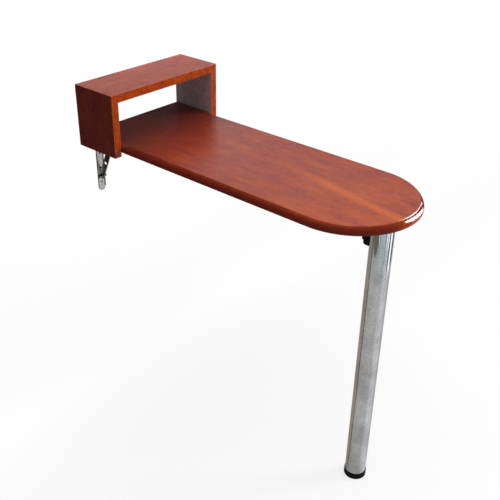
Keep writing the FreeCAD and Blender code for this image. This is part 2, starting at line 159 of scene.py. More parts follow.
# Lays real stains, and also painted light and painted shade.
def lay_colour(tree, share, below, colour):
    """Lay a plain colour over another by a share."""
    return blend(tree, share, below, (*colour, 1.0))


def ramp(tree, value, stops):
    """Colour ramp through (place, colour) stops."""
    made = add(tree, "ShaderNodeValToRGB", {0: value})
    points = made.color_ramp.elements
    while len(points) < len(stops):
        points.new(0.5)
    for point, (place, colour) in zip(points, stops):
        point.position = place
        point.color = (*colour, 1.0)
    return made.outputs[0]


# %% [markdown]
# An effect that several finishes share is a node group: it is built once, has named sockets, and is
# placed in each material with its own values.

# %% Group helpers
def start_group(name, inputs, outputs):
    """New node group. Gives it, its given values and its wanted results."""
    group = bpy.data.node_groups.new(name, "ShaderNodeTree")
    for label, value in inputs.items():
        kind = "NodeSocketFloat" if isinstance(value, float) else "NodeSocketVector"
        group.interface.new_socket(label, in_out="INPUT", socket_type=kind).default_value = value
    for label in outputs:
        group.interface.new_socket(label, in_out="OUTPUT", socket_type="NodeSocketFloat")
    given = group.nodes.new("NodeGroupInput").outputs
    wanted = group.nodes.new("NodeGroupOutput").inputs
    return group, given, wanted


def place_group(tree, group, **inputs):
    """Put a group into a material."""
    made = tree.nodes.new("ShaderNodeGroup")
    made.node_tree = group
    feed(tree, made, **inputs)
    return made.outputs


# %% [markdown]
# A finish itself starts from the Principled shader. Patterns use the object's own coordinates and
# normals, so they stay with a piece when it moves.

# %% Material helpers
def start_finish(name, **sockets):
    """New material. Gives it, its tree, its Principled shader and the object's own coordinates."""
    material = bpy.data.materials.new(name)
    material.use_nodes = True
    tree = material.node_tree
    shader = tree.nodes["Principled BSDF"]
    feed(tree, shader, **sockets)
    return material, tree, shader, tree.nodes.new("ShaderNodeTexCoord").outputs


def bump(tree, shader, height, strength, distance):
    """Relief from a height between 0 and 1, which stands for a distance in metres."""
    made = add(tree, "ShaderNodeBump", {"Height": height, "Strength": strength, "Distance": distance})
    feed(tree, shader, Normal=made.outputs[0])


def dress(material, *names):
    """Give solids a finish."""
    for name in names:
        nodes[name].material_slots[0].material = material
    print(material.name, "on", ", ".join(names))


# %% [markdown]
# ## Wood figure
# A sawn board shows broad clouds, finer streaks and mottling, fibres and open pores, all drawn out along
# the grain. A picture of wood would need a cut for every board, so the figure is noise on coordinates
# that are squeezed along the grain, which stretches it. A slow drift of the coordinates keeps the
# streaks from running dead straight.

# %% Wood figure group
figure_layers = (("Clouds", "Clouds Run", 30.0, 4.0), ("Streaks", "Fibres Run", 75.0, 4.0),
                 ("Mottle", "Clouds Run", 190.0, 2.0), ("Fibres", "Fibres Run", 420.0, 3.0))
figure_roughness = 0.6
drift_scale = 4.0
drift_reach = (0.04, 0.04, 0.04)
pore_scale = 950.0
pore_crests = (0.60, 0.72)
no_shift = (0.0, 0.0, 0.0)
no_squeeze = (1.0, 1.0, 1.0)

group, given, wanted = start_group(
    "wood_figure",
    {"Place": no_shift, "Offset": no_shift, "Clouds Run": no_squeeze, "Fibres Run": no_squeeze},
    ("Clouds", "Streaks", "Mottle", "Fibres", "Pores"))
moved = vectors(group, "ADD", given["Place"], given["Offset"])
drift = add(group, "ShaderNodeTexNoise", {"Vector": moved, "Scale": drift_scale, "Detail": 2.0})
wavy = vectors(group, "ADD", moved, vectors(group, "MULTIPLY", drift.outputs["Color"], drift_reach))
runs = {label: vectors(group, "MULTIPLY", wavy, given[label]) for label in ("Clouds Run", "Fibres Run")}
for label, run, scale, detail in figure_layers:
    fill(group, wanted[label], noise(group, runs[run], scale, detail, figure_roughness))
pores = noise(group, runs["Fibres Run"], pore_scale, 1.0)
fill(group, wanted["Pores"], spread(group, pores, *pore_crests))
wood_figure = group
print("group", wood_figure.name)

# %% [markdown]
# ## Handling marks
# Metal carries soft blotches from fingers and fine lines from polishing. The lines are noise again,
# squeezed hard along one axis, with only its highest crests kept.

# %% Handling marks group
blotch_crests = (0.35, 0.7)
line_crests = (0.45, 0.75)
along_height = (1.0, 1.0, 0.02)

group, given, wanted = start_group(
    "handling_marks",
    {"Place": no_shift, "Blotch Scale": 30.0, "Line Scale": 600.0, "Line Run": along_height},
    ("Blotches", "Lines"))
run = vectors(group, "MULTIPLY", given["Place"], given["Line Run"])
lines = noise(group, run, given["Line Scale"], 2.0)
clouds = noise(group, given["Place"], given["Blotch Scale"], 5.0)
fill(group, wanted["Blotches"], spread(group, clouds, *blotch_crests))
fill(group, wanted["Lines"], spread(group, lines, *line_crests))
handling_marks = group
print("group", handling_marks.name)

# %% [markdown]
# ## Moulded skin
# The pebbled skin of black plastic comes from the spark eroded tool that it was moulded in. Powder
# paint has a larger and softer one. Voronoi cells give the pebbles, and noise breaks them up.

# %% Moulded skin group
skin_cloud_scale = 45.0
group, given, wanted = start_group(
    "moulded_skin", {"Place": no_shift, "Pebble Scale": 1500.0}, ("Pebbles", "Clouds"))
cells = add(group, "ShaderNodeTexVoronoi", {"Vector": given["Place"], "Scale": given["Pebble Scale"]})
fine = noise(group, given["Place"], given["Pebble Scale"], 2.0)
fill(group, wanted["Pebbles"], sums(group, "ADD", cells.outputs["Distance"], fine))
fill(group, wanted["Clouds"], noise(group, given["Place"], skin_cloud_scale, 4.0))
moulded_skin = group
print("group", moulded_skin.name)

# %% [markdown]
# ## Stained and varnished wood
# The boards are a red-brown stained hardwood under varnish. The grain runs along each board, so every
# board gets its own squeeze and offset, or all would show the same figure. The stain is darker in the
# clouds, so the tone of a place is a mix of the figure's layers on one colour ramp.

# %% Tone of a board
clouds_squeeze = 0.38
fibres_squeeze = 0.09
tone_shares = {"Clouds": 0.42, "Streaks": 0.23, "Mottle": 0.35}
tone_stops = [(0.38, (0.28, 0.030, 0.030)), (0.5, (0.42, 0.052, 0.019)), (0.62, (0.54, 0.088, 0.014))]


def grain_run(axis, squeeze):
    """Scales that stretch a noise along one axis."""
    return [squeeze if letter == axis else 1.0 for letter in "XYZ"]


def board_figure(tree, place, grain_axis, offset=no_shift):
    return place_group(tree, wood_figure, Place=place, Offset=offset,
                       Clouds_Run=grain_run(grain_axis, clouds_squeeze),
                       Fibres_Run=grain_run(grain_axis, fibres_squeeze))


def board_tone(tree, figure):
    layers = [times(tree, figure[label], share) for label, share in tone_shares.items()]
    tone = sums(tree, "ADD", sums(tree, "ADD", layers[0], layers[1]), layers[2])
    return ramp(tree, tone, tone_stops)


# %% [markdown]
# The leaf has painted light and shade of its own. Its outer end is painted a brighter orange as light,
# with a lighter streak along the grain there. The inner end, in the shade of the box, is painted darker
# as shade, and so are the round side of the rim and the far rim. Each of these is a mask over a range of
# a place or a direction.

# %% Painted light and shade of the leaf
# Painted light at the outer end of the leaf, shared with a lighter streak along the grain.
painted_light_and_streak_orange = (0.80, 0.152, 0.022)
# Painted shade on the inner end of the leaf, where the box shades it.
painted_box_shade = (0.13, 0.020, 0.011)
# Painted shade on the round side and the far side of the rim.
painted_rim_shade = (0.25, 0.026, 0.016)
warm_clouds = (0.3, 0.65, 0.1, 0.5)
warm_across = (0.16, 0.02, 0.3, 1.0)
band_slope, band_offset, band_half = 0.170, 0.124, 0.030
band_run = (-0.55, -0.72)
box_shade_run = (-0.36, -0.16, 0.0, 0.85)
rim_shade_below = (0.82, 0.5, 0.0, 0.85)
rim_shade_far = (0.1, 0.35, 0.0, 0.8)


def leaf_painted_light_and_shade(tree, colour, figure, facing, along, tip):
    warm = times(tree, spread(tree, along["Y"], *tip), spread(tree, figure["Clouds"], *warm_clouds))
    inputs = {0: along["Y"], 1: band_slope, 2: band_offset}
    middle = add(tree, "ShaderNodeMath", inputs, operation="MULTIPLY_ADD").outputs[0]
    aside = sums(tree, "ABSOLUTE", sums(tree, "SUBTRACT", along["X"], middle))
    band = times(tree, spread(tree, aside, band_half, 0.0), spread(tree, along["Y"], *band_run))
    warm = times(tree, sums(tree, "MAXIMUM", warm, band), spread(tree, along["X"], *warm_across))
    # The orange outer end is painted light; the band along the grain is a lighter streak.
    colour = lay_colour(tree, warm, colour, painted_light_and_streak_orange)
    # Painted shade on the inner end of the leaf, under the box.
    colour = lay_colour(tree, spread(tree, along["Y"], *box_shade_run), colour, painted_box_shade)
    # Painted shade on the round side of the rim, then on the far rim.
    colour = lay_colour(tree, spread(tree, facing["Z"], *rim_shade_below), colour, painted_rim_shade)
    return lay_colour(tree, spread(tree, facing["X"], *rim_shade_far), colour, painted_rim_shade)


# %% [markdown]
# Faces that look to the front are painted a brighter orange, as light from the front lamp. On the leaf
# only the part of the rim that looks straight ahead has it. Fibres and pores are drawn over all faces as
# fine dark lines.

# %% Painted front light and grain lines
# Painted light on faces that look to the front.
front_light_stops = [(0.35, (0.60, 0.055, 0.004)), (0.6, (0.86, 0.145, 0.010))]
front_facing = (-0.6, -0.95, 0.0, 0.85)
leaf_front = (-0.35, -0.08)
stain_deep = (0.23, 0.030, 0.012)
pore_dark = (0.07, 0.012, 0.006)
fibre_shares = (0.3, 0.7, 0.3, 0.0)
pore_share = 0.5


def paint_front_light(tree, colour, figure, facing, is_leaf):
    front = spread(tree, facing["Y"], *front_facing)
    if is_leaf:
        front = times(tree, front, spread(tree, facing["X"], *leaf_front))
    return blend(tree, front, colour, ramp(tree, figure["Mottle"], front_light_stops))


def grain_lines(tree, colour, figure):
    colour = lay_colour(tree, spread(tree, figure["Fibres"], *fibre_shares), colour, stain_deep)
    return lay_colour(tree, times(tree, figure["Pores"], pore_share), colour, pore_dark)


# %% [markdown]
# The faces inside the box are painted a pale grey as a painted sheen. The mask is the direction that such
# a face looks in, and it also makes the varnish rougher.

# %% Faces inside the box
# Pale grey painted sheen on the faces inside the box.
painted_sheen_stops = [(0.35, (0.60, 0.52, 0.53)), (0.6, (0.76, 0.69, 0.71))]
dull_facing = (0.5, 0.9)
dull_share = 0.9
dull_roughness = 0.6


def dull_painted_sheen_face(tree, colour, rough, figure, facing, axis, sign):
    low, high = (sign * size for size in dull_facing)
    dull = spread(tree, facing[axis], low, high, 0.0, dull_share)
    colour = blend(tree, dull, colour, ramp(tree, figure["Mottle"], painted_sheen_stops))
    return colour, sums(tree, "MAXIMUM", rough, times(tree, dull, dull_roughness))


# %% [markdown]
# Hands rub the stain off the arrises, and the lighter arris also stands in for a painted highlight. On a
# square board these are the places where no axis of the normal is close to one. The leaf has a moulded
# rim with one arris between the round side and the top, and below it at the tip a thin dark line, a
# painted reflection of a dark window bar.

# %% Worn arrises, painted highlight and painted reflection
# Lighter arrises: rubbed wear and a painted highlight.
rubbed_and_painted_highlight = (0.72, 0.30, 0.17)
# Painted reflection of a dark window bar on the rim at the tip.
painted_mullion_line = (0.03, 0.016, 0.022)
square_arris = (0.97, 0.85)
moulded_arris = (0.80, 0.87, 0.985, 0.998)
rubbed_streaks = (0.4, 0.6)
rubbed_share = 0.25
mullion_height = (0.59, 0.63, 0.66, 0.70)
mullion_front = (-0.45, -0.6, 0.0, 0.7)


def arris_mask(tree, facing, is_leaf):
    """One on the arrises of a board."""
    if is_leaf:
        return window(tree, facing["Z"], *moulded_arris)
    sizes = [sums(tree, "ABSOLUTE", facing[axis]) for axis in "XYZ"]
    largest = sums(tree, "MAXIMUM", sums(tree, "MAXIMUM", sizes[0], sizes[1]), sizes[2])
    return spread(tree, largest, *square_arris)


def arris_wear_and_painted_lines(tree, colour, figure, facing, is_leaf):
    streaks = spread(tree, figure["Streaks"], *rubbed_streaks)
    rubbed = times(tree, arris_mask(tree, facing, is_leaf), streaks)
    # Rubbed wear, and a painted highlight along the arris.
    colour = lay_colour(tree, times(tree, rubbed, rubbed_share), colour, rubbed_and_painted_highlight)
    if is_leaf:
        # Painted reflection of a dark window bar, a thin line on the rim at the tip.
        line = times(tree, window(tree, facing["Z"], *mullion_height), spread(tree, facing["Y"], *mullion_front))
        colour = lay_colour(tree, line, colour, painted_mullion_line)
    return colour


# %% [markdown]
# All of it comes together in one finish. The broad faces have a satin varnish. A rounded rim is polished
# by hands, so there the coat of the Principled shader adds a hard gloss on top, and the varnish below is
# smoother too.

# %% Stained wood
board_sheen = 0.25
coat_roughness = 0.03
varnish_roughness = (0.3, 0.7, 0.33, 0.25)
rim_facing = (0.15, 0.35, 0.97, 0.995)
rim_smoothing = (0.0, 1.0, 1.0, 0.3)
grain_relief = {"strength": 0.2, "distance": 0.0002}


def stained_wood(name, grain_axis, offset, sheen=board_sheen, painted_shade_multiply=None, inside=None, tip=None):
    """Varnished board. Inside is the axis and sign of its dull face with painted sheen, and tip the Y range
    of a leaf's painted light.
    """
    material, tree, shader, where = start_finish(
        name, Coat_Roughness=coat_roughness, Specular_IOR_Level=sheen)
    figure = board_figure(tree, where["Object"], grain_axis, offset)
    facing = split(tree, where["Normal"])
    colour = board_tone(tree, figure)
    # Painted shade for a whole board, as a colour multiplier.
    if painted_shade_multiply:
        colour = blend(tree, 1.0, colour, (*painted_shade_multiply, 1.0), "MULTIPLY")
    if tip:
        colour = leaf_painted_light_and_shade(tree, colour, figure, facing, split(tree, where["Object"]), tip)
    colour = paint_front_light(tree, colour, figure, facing, tip)
    colour = grain_lines(tree, colour, figure)
    rough = spread(tree, figure["Streaks"], *varnish_roughness)
    if inside:
        colour, rough = dull_painted_sheen_face(tree, colour, rough, figure, facing, *inside)
    colour = arris_wear_and_painted_lines(tree, colour, figure, facing, tip)
    rim = window(tree, facing["Z"], *rim_facing)
    rough = times(tree, rough, spread(tree, rim, *rim_smoothing))
    feed(tree, shader, Base_Color=colour, Roughness=rough, Coat_Weight=rim)
    bump(tree, shader, sums(tree, "SUBTRACT", figure["Fibres"], figure["Pores"]), **grain_relief)
    return material


# %% Boards
boards = (
    ("box_top_board", "X", (0.0, 0.0, 0.0), {"sheen": 0.10, "inside": ("Z", -1)}),
    # The left panel is multiplied darker and bluer: painted shade with a dim painted sheen.
    ("box_left_panel", "Z", (0.31, 0.17, 0.05), {"painted_shade_multiply": (0.66, 0.88, 1.9), "inside": ("X", 1)}),
    ("box_right_panel", "Z", (0.83, 0.41, 0.22), {"inside": ("X", -1)}),
    ("left_cleat", "Y", (1.27, 0.33, 0.64), {}),
    ("right_cleat", "Y", (1.91, 0.72, 0.13), {}),
    ("leaf_board", "Y", (2.53, 0.0, 0.47), {"tip": (-0.45, -0.95)}),
)
for board, grain_axis, offset, choices in boards:
    dress(stained_wood("stained_" + board, grain_axis, offset, **choices), board)

# %% [markdown]
# The dowels are plain beech. They have the same figure, but pale colours and no varnish.

# %% Beech
beech_stops = [(0.35, (0.50, 0.31, 0.16)), (0.65, (0.68, 0.47, 0.27))]

plain_beech, tree, shader, where = start_finish("plain_beech", Roughness=0.6)
figure = board_figure(tree, where["Object"], "X")
feed(tree, shader, Base_Color=ramp(tree, figure["Streaks"], beech_stops))
bump(tree, shader, figure["Fibres"], strength=0.3, distance=0.0004)
dress(plain_beech, "corner_dowels", "cleat_dowels")

# %% [markdown]
# ## Metals
# Chrome, satin nickel, zinc and brass differ in colour and gloss, and all carry handling marks, so one
# function makes them. The marks vary the colour a little and the roughness more, because a mark on metal
# shows mainly as a change of gloss. Chrome on a long tube is never quite even, so it has dim patches. The
# sides of the pressed brackets are painted dark as shade, and the struts are a darker copy, painted shade.

# %% Metals
blotch_share = 0.6
line_share = 0.5
patch_shades = (0.38, 0.62, 0.84, 1.12)
flank_facing = (0.35, 0.8, 0.0, 0.92)
line_depth = 0.0001


def metal(name, colour, marked, gloss, lines, blotches=60.0, line_run=along_height, relief=0.15,
          painted_side_shade=None, patches=None):
    """Plated metal. The side shade is the colour of a painted shade on the faces to the left and right, and
    patches a noise scale.
    """
    material, tree, shader, where = start_finish(name, Metallic=1.0)
    marks = place_group(tree, handling_marks, Place=where["Object"], Blotch_Scale=blotches,
                        Line_Scale=lines, Line_Run=line_run)
    wear = sums(tree, "ADD", times(tree, marks["Blotches"], blotch_share),
                times(tree, marks["Lines"], line_share), clamp=True)
    shade = blend(tree, wear, (*colour, 1.0), (*marked, 1.0))
    if patches:
        dim = spread(tree, noise(tree, where["Object"], patches), *patch_shades)
        shade = blend(tree, 1.0, shade, dim, "MULTIPLY")
    # Painted shade on the faces to the left and right.
    if painted_side_shade:
        sideways = sums(tree, "ABSOLUTE", split(tree, where["Normal"])["X"])
        shade = lay_colour(tree, spread(tree, sideways, *flank_facing), shade, painted_side_shade)
    feed(tree, shader, Base_Color=shade, Roughness=spread(tree, wear, 0.0, 1.0, *gloss))
    bump(tree, shader, marks["Lines"], relief, line_depth)
    return material


# %% Metal pieces
around_x = (1.0, 0.05, 0.05)
leg_chrome = metal("leg_chrome", (0.71, 0.71, 0.70), (0.45, 0.445, 0.435), (0.04, 0.12), lines=500.0,
                   blotches=260.0, relief=0.02, patches=14.0)
# The side colour of the brackets is painted shade.
satin_nickel = metal("satin_nickel", (0.80, 0.78, 0.74), (0.66, 0.63, 0.59), (0.20, 0.34), lines=900.0,
                     painted_side_shade=(0.045, 0.030, 0.025))
# The struts have the same plating; this darker copy is painted shade.
strut_shaded_nickel = metal("strut_shaded_nickel", (0.50, 0.46, 0.43), (0.38, 0.34, 0.31), (0.24, 0.40), lines=900.0)
zinc_plate = metal("zinc_plate", (0.62, 0.62, 0.63), (0.50, 0.50, 0.49), (0.28, 0.42), lines=1200.0,
                   blotches=90.0, line_run=no_squeeze, relief=0.2)
turned_brass = metal("turned_brass", (0.78, 0.57, 0.25), (0.62, 0.43, 0.18), (0.22, 0.36), lines=1500.0,
                     line_run=around_x, relief=0.2)

dress(leg_chrome, "leg_tube")
dress(satin_nickel, "left_bracket_angle", "right_bracket_angle")
dress(strut_shaded_nickel, "left_bracket_strut", "right_bracket_strut")
dress(turned_brass, "left_pivot_bush", "right_pivot_bush")
dress(zinc_plate, "bracket_spacers", "bracket_rivets", "bracket_arm_screws", "left_pivot_pin",
      "right_pivot_pin", "base_plate_screws", "leg_hinge_pin", "foot_nut", "lock_bolt", "foot_stud")
# A mirror would throw bright specks on the floor, so rays of soft light don't meet the leg.
nodes["leg_tube"].visible_diffuse = False

# %% [markdown]
# ## Plastics and paint
# The lock slider, the foot and the inner blocks are black moulded plastic, the hinge plate is powder
# painted, and the pivot washers are white nylon. All have a fine skin, so one function makes them, each
# with its own pebble size.

# %% Plastics and paint
skin_crests = (0.35, 0.7)
skin_depth = 0.0002


def skinned(name, colour, worn, gloss, pebbles, relief, **sockets):
    material, tree, shader, where = start_finish(name, **sockets)
    skin = place_group(tree, moulded_skin, Place=where["Object"], Pebble_Scale=pebbles)
    clouds = spread(tree, skin["Clouds"], *skin_crests)
    feed(tree, shader, Base_Color=blend(tree, clouds, (*colour, 1.0), (*worn, 1.0)),
         Roughness=spread(tree, clouds, 0.0, 1.0, *gloss))
    bump(tree, shader, skin["Pebbles"], relief, skin_depth)
    return material


# %% Plastic and painted pieces
black_plastic = skinned("black_plastic", (0.006, 0.006, 0.006), (0.012, 0.012, 0.012), (0.45, 0.6),
                        pebbles=1500.0, relief=0.25, Specular_IOR_Level=0.12)
foot_plastic = skinned("foot_plastic", (0.006, 0.006, 0.006), (0.014, 0.014, 0.013), (0.5, 0.7),
                       pebbles=1100.0, relief=0.35, Specular_IOR_Level=0.15)
black_paint = skinned("black_paint", (0.014, 0.014, 0.015), (0.024, 0.024, 0.024), (0.34, 0.46),
                      pebbles=700.0, relief=0.30)
white_nylon = skinned("white_nylon", (0.80, 0.79, 0.75), (0.72, 0.71, 0.66), (0.38, 0.50),
                      pebbles=1800.0, relief=0.12)

dress(black_plastic, "leg_hinge_block", "leg_end_plug", "lock_slider")
dress(foot_plastic, "foot_pad")
dress(black_paint, "leg_base_plate")
dress(white_nylon, "left_pivot_washer", "right_pivot_washer")

# %% [markdown]
# ## Soft edges
# Pressed steel has no knife edges: tumbling and plating round them, and a round edge catches a thin line
# of light. A bevel modifier rounds only the edges that turn sharply and leaves the solid below as it is,
# so a piece keeps its exact size. The faces of the solids come in separately, so a weld modifier joins
# them first.

# %% Soft edges
weld_distance = 1e-6
soft_width = 0.0003
soft_turn = radians(40.0)
pressed_steel = ("left_bracket_angle", "right_bracket_angle", "left_bracket_strut", "right_bracket_strut",
                 "leg_base_plate")
for name in pressed_steel:
    weld = nodes[name].modifiers.new("joined_faces", "WELD")
    weld.merge_threshold = weld_distance
    bevel = nodes[name].modifiers.new("soft_edges", "BEVEL")
    bevel.width = soft_width
    bevel.segments = 2
    bevel.limit_method = "ANGLE"
    bevel.angle_limit = soft_turn
    bevel.harden_normals = True
print("soft edges on", len(pressed_steel), "solids")

# %% [markdown]
# ## Small hardware
# The screws, the rivets, the stud of the foot and the lock slider come from the model as plain solids.
# Each gets a finer mesh that stands for it, rides on the same body and has the same finish. The place
# and the size of every solid are read from its own mesh, so nothing is measured twice. A node can hold
# several screws, which are told apart by walking along their edges.

# %% Loose solids
def loose_boxes(name):
    """Lowest and highest corner of each separate solid in a node, in order of place."""
    mesh = bmesh.new()
    mesh.from_mesh(nodes[name].data)
    mesh.transform(nodes[name].matrix_world)
    bmesh.ops.remove_doubles(mesh, verts=mesh.verts, dist=weld_distance)
    boxes = []
    unseen = set(mesh.verts)
    while unseen:
        island = [unseen.pop()]
        for vert in island:
            fresh = {edge.other_vert(vert) for edge in vert.link_edges} & unseen
            unseen -= fresh
            island.extend(fresh)
        columns = list(zip(*(vert.co for vert in island)))
        boxes.append((Vector(map(min, columns)), Vector(map(max, columns))))
    mesh.free()
    return sorted(boxes, key=lambda box: tuple(box[0]))


# %% [markdown]
# Most of this hardware is turned or rolled. A spin of an outline would make it, but then a recess or a
# thread would have to be cut. With rings of points around an axis, every point can be moved on the way.

# %% Turned pieces
def turned(mesh, centre, rows, steps, moved=None):
    """Rings around an axis. A row is a radius and a height, and moved may shift a point."""
    turns = [2.0 * pi * step / steps for step in range(steps)]
    rings = []
    for radius, height in rows:
        points = [Vector((radius * cos(turn), radius * sin(turn), height)) for turn in turns]
        rings.append([mesh.verts.new(centre + (moved(point) if moved else point)) for point in points])
    for lower, upper in zip(rings, rings[1:]):
        for step in range(steps):
            after = (step + 1) % steps
            mesh.faces.new((lower[step], lower[after], upper[after], upper[step]))
    mesh.faces.new(rings[0][::-1])
    mesh.faces.new(rings[-1])


def place_piece(mesh, name, material, body, node, sharp_degrees=35.0):
    """Make a bmesh into a piece that stands for a node."""
    bmesh.ops.recalc_face_normals(mesh, faces=mesh.faces)
    data = bpy.data.meshes.new(name)
    mesh.to_mesh(data)
    mesh.free()
    data.shade_smooth()
    data.set_sharp_from_angle(angle=radians(sharp_degrees))
    data.materials.append(material)
    piece = bpy.data.objects.new(name, data)
    scene.collection.objects.link(piece)
    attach(piece, body)
    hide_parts(node)
    print(name, "with", len(data.vertices), "points")


# %% [markdown]
# The heads of the screws face down. A cross recess is pressed into each: the rings of the head are close
# together, and the points inside the cross go up. The plate's screws are sunk flush, and the bracket's
# have a low dome.

# %% Cross recess
recess_depth = 0.0014
cross_reach, cross_half_width, cross_soft = 0.58, 0.15, 0.05


def clamped(value):
    return min(max(value, 0.0), 1.0)


def pressed_cross(head_radius, face_height):
    """Shift of the points on a head's face that lie in its cross."""
    reach, half_width, soft = (head_radius * share for share in (cross_reach, cross_half_width, cross_soft))

    def moved(point):
        aside, along = sorted((abs(point.x), abs(point.y)))
        inside = clamped((half_width - aside) / soft) * clamped((reach - along) / soft)
        lift = recess_depth * inside if point.z < face_height else 0.0
        return point + Vector((0.0, 0.0, lift))

    return moved


# %% Screws
shank_radius = 0.0020
point_radius, point_length = 0.0003, 0.003
flush_edge = 0.0002
head_rings = 20
head_steps = 64
face_share = 0.7


def screw_set(name, node, body, head_height, dome):
    mesh = bmesh.new()
    for low, high in loose_boxes(node):
        head_radius, length = (high.x - low.x) / 2.0, high.z - low.z
        centre = Vector(((low.x + high.x) / 2.0, (low.y + high.y) / 2.0, low.z))
        shares = [(step + 0.5) / head_rings for step in range(head_rings)]
        face = [(head_radius * share, dome * share ** 2) for share in shares]
        edge = [(head_radius, dome), (head_radius, head_height)] if dome else [(head_radius, flush_edge)]
        shank = [(shank_radius, head_height), (shank_radius, length - point_length), (point_radius, length)]
        cross = pressed_cross(head_radius, head_height * face_share)
        turned(mesh, centre, face + edge + shank, head_steps, cross)
    place_piece(mesh, name, zinc_plate, body, node)


screw_set("plate_screws", "base_plate_screws", "leaf", head_height=0.0022, dome=0.0)
screw_set("arm_screws", "bracket_arm_screws", "wall_box", head_height=0.0025, dome=0.0009)

# %% [markdown]
# A rivet is a round bar with a domed head at each end, and lies across its bracket. Its rings are made
# upright and laid over by a swap of the coordinates.

# %% Rivets
dome_height = 0.0016
dome_rings = 10
dome_first, dome_last = 5.0, 90.0
bar_steps = 40

mesh = bmesh.new()
rise_step = (dome_last - dome_first) / (dome_rings - 1)
quarter = [radians(dome_first + rise_step * ring) for ring in range(dome_rings)]
for low, high in loose_boxes("bracket_rivets"):
    head_radius, length = (high.z - low.z) / 2.0, high.x - low.x
    centre = Vector((low.x, (low.y + high.y) / 2.0, (low.z + high.z) / 2.0))
    dome = [(head_radius * sin(turn), dome_height * (1.0 - cos(turn))) for turn in quarter]
    half = dome + [(shank_radius, dome_height)]
    rows = half + [(radius, length - height) for radius, height in reversed(half)]
    turned(mesh, centre, rows, bar_steps, lambda point: Vector((point.z, point.x, point.y)))
place_piece(mesh, "domed_rivets", zinc_plate, "wall_box", "bracket_rivets")

# %% [markdown]
# The stud of the foot shows when the foot is screwed out, so it has its thread. The rings are a sixth of
# a turn's rise apart, and each point moves in by how far it lies from the crest, which winds up around
# the stud.

# %% Threaded stud
thread_pitch = 0.0015
thread_depth = 0.0008
rings_a_turn = 6


def threaded(point):
    radius = hypot(point.x, point.y)
    phase = (point.z / thread_pitch - atan2(point.y, point.x) / (2.0 * pi)) % 1.0
    share = (radius - thread_depth * abs(2.0 * phase - 1.0)) / radius
    return Vector((point.x * share, point.y * share, point.z))


low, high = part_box("foot_stud")
radius, length = (high.x - low.x) / 2.0, high.z - low.z
rings = round(length / thread_pitch * rings_a_turn)
rows = [(radius, length * ring / rings) for ring in range(rings + 1)]
mesh = bmesh.new()
centre = Vector(((low.x + high.x) / 2.0, (low.y + high.y) / 2.0, low.z))
turned(mesh, centre, rows, bar_steps, threaded)
place_piece(mesh, "threaded_stud", zinc_plate, "foot", "foot_stud", 60.0)

# %% [markdown]
# The lock slider hugs the tube with its hollow side and has a thumb grip on the other. It could be one
# extruded outline, but its corners are cut and its grip has ridges, so it is a grid: for each place
# across and up, one point on the hollow side and one on the grip.

# %% Grip of the lock slider
slider_step, slider_slope = 0.0045, 0.0015
slider_grip_height = 0.018
slider_cut = 0.003
slider_soft = 0.0008
ridge_pitch, ridge_depth, ridge_margin = 0.003, 0.0009, 0.002


def slider_outside(across, up, low, high):
    """Depth of the grip side at a place across and up."""
    below_top, above_foot = high.z - up, up - low.z
    depth = high.y - slider_step * clamped((below_top - slider_grip_height) / slider_slope)
    if ridge_margin < below_top < slider_grip_height - ridge_margin:
        turn = 2.0 * pi * (below_top - ridge_margin) / ridge_pitch
        depth -= ridge_depth * (0.5 - 0.5 * cos(turn))
    depth -= max(slider_cut - above_foot, 0.0) + max(slider_soft - below_top, 0.0)
    return depth - max(abs(across) - (high.x - slider_cut), 0.0)


# %% [markdown]
# A square neck goes from the slider through the slot of the tube, and a round pin from the neck into the
# bolt. Both are found in the solid as its points inside the tube.

# %% Neck of the lock slider
tube_clear_radius = 0.0303
neck_half = 0.004
neck_overlap = 0.008
neck_pin_radius = 0.0025
pin_margin = 0.0005
pin_steps = 24


def slider_neck(mesh, axis_y):
    """Neck through the slot of the tube, and the pin at its end."""
    solid = nodes["lock_slider"]
    points = [solid.matrix_world @ vert.co for vert in solid.data.vertices]
    reach = tube_clear_radius - neck_half
    within = [point for point in points if hypot(point.x, point.y - axis_y) < reach]
    pin_end = min(point.y for point in within)
    neck_end = min(point.y for point in within if abs(point.x) > neck_pin_radius + pin_margin)
    middle_z = (min(point.z for point in within) + max(point.z for point in within)) / 2.0
    neck_start = axis_y + tube_clear_radius + neck_overlap
    size = Matrix.Diagonal((2.0 * neck_half, neck_start - neck_end, 2.0 * neck_half, 1.0))
    place = Matrix.Translation((0.0, (neck_start + neck_end) / 2.0, middle_z))
    bmesh.ops.create_cube(mesh, size=1.0, matrix=place @ size)
    rows = [(neck_pin_radius, 0.0), (neck_pin_radius, neck_end - pin_end + neck_pin_radius)]
    laid = lambda point: Vector((point.x, point.z, point.y))
    turned(mesh, Vector((0.0, pin_end, middle_z)), rows, pin_steps, laid)
    print("neck from", round(neck_end, 4), "to", round(neck_start, 4), "and pin from", round(pin_end, 4))


# %% Lock slider
slider_columns = 40
slider_levels = 93


def strip_faces(mesh, first, second):
    """Faces between two rows of points."""
    for step in range(len(first) - 1):
        mesh.faces.new((first[step], first[step + 1], second[step + 1], second[step]))


low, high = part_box("lock_slider")
axis_y = sum(corner.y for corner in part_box("leg_tube")) / 2.0
columns = [low.x + (high.x - low.x) * step / slider_columns for step in range(slider_columns + 1)]
levels = [low.z + (high.z - low.z) * step / slider_levels for step in range(slider_levels + 1)]
hollow_y = [axis_y + sqrt(tube_clear_radius ** 2 - x * x) for x in columns]
mesh = bmesh.new()
grip = [[mesh.verts.new((x, slider_outside(x, z, low, high), z)) for x in columns] for z in levels]
hollow = [[mesh.verts.new((x, y, z)) for x, y in zip(columns, hollow_y)] for z in levels]
for side in (grip, hollow):
    for row, above in zip(side, side[1:]):
        strip_faces(mesh, row, above)
for end in (0, -1):
    strip_faces(mesh, grip[end], hollow[end])
    strip_faces(mesh, [row[end] for row in grip], [row[end] for row in hollow])
slider_neck(mesh, axis_y)
place_piece(mesh, "ridged_slider", black_plastic, "leg_lock", "lock_slider", 50.0)

